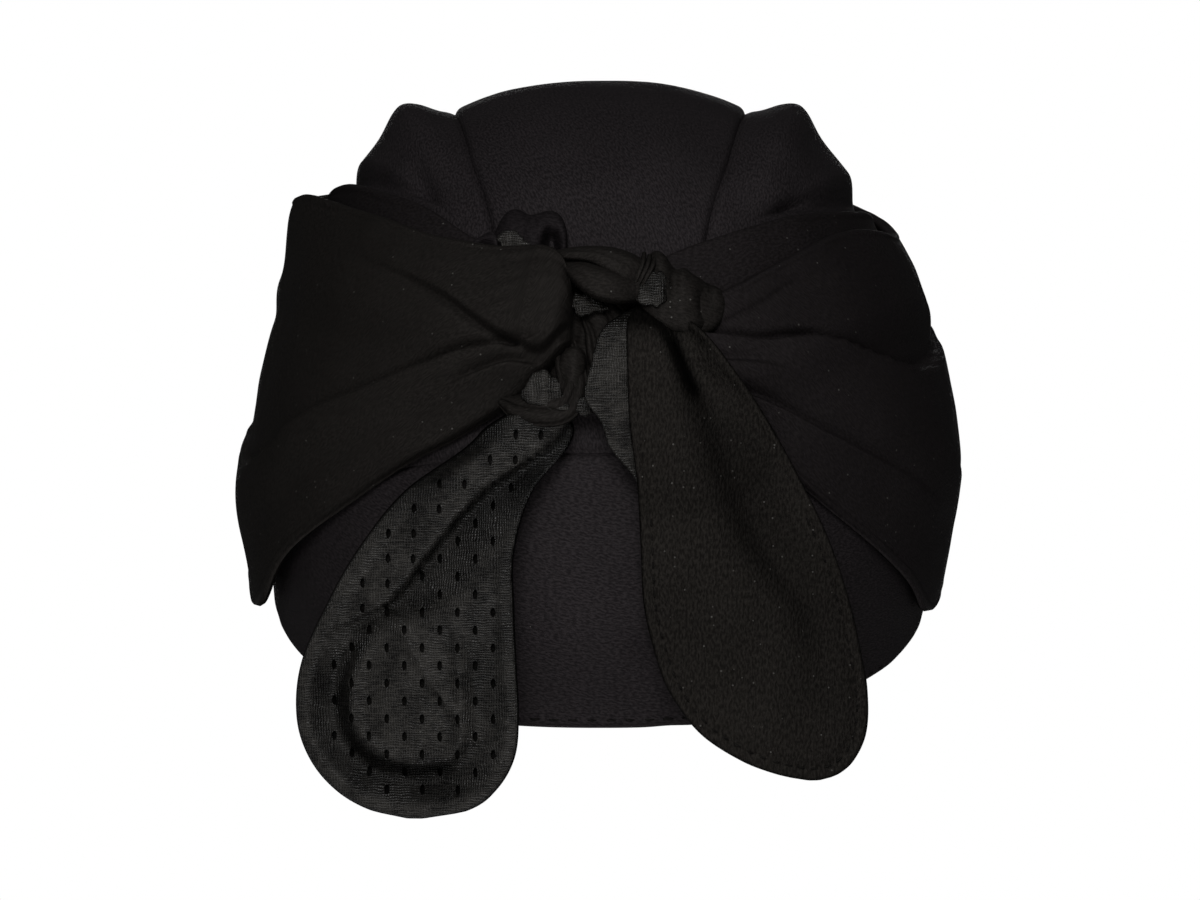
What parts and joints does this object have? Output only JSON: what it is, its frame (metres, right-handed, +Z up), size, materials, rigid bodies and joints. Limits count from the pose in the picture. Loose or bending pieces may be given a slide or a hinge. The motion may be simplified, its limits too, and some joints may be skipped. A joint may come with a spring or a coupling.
{
  "type": "turban headwrap",
  "caption": "Soft black turban headwrap: a close panelled cap with wide pleated bands knotted at the back and tie ends hanging below the rim.",
  "frame": {"origin": "centre of the head opening, in the plane of the rim", "axes": "+X to the wearer's right, +Y to the wearer's front with the knot on the -Y side, +Z up with the rim raised at the brow as worn"},
  "size_m": [0.1808, 0.2108, 0.1798],
  "materials": {
    "cap_cloth": "matt soft jersey, neutral black",
    "band_cloth": "matt crepe jersey, warm black",
    "lining_mesh": "satin knitted eyelet mesh, black"
  },
  "bodies": {
    "root": {"crown_centre_panel": "cap_cloth", "crown_side_panel_left": "cap_cloth", "crown_side_panel_right": "cap_cloth", "nape_panel": "cap_cloth", "under_fold_left": "band_cloth", "under_fold_right": "band_cloth", "wrap_left": "band_cloth", "wrap_right": "band_cloth", "knot_top_loop": "band_cloth", "knot_core": "band_cloth", "knot_right_collar": "band_cloth", "knot_lower_loop": "band_cloth", "knot_back_gather": "band_cloth", "tail_left": "band_cloth", "tail_left_lining": "lining_mesh", "tail_right": "band_cloth", "tail_right_lining": "lining_mesh"}
  },
  "joints": []
}
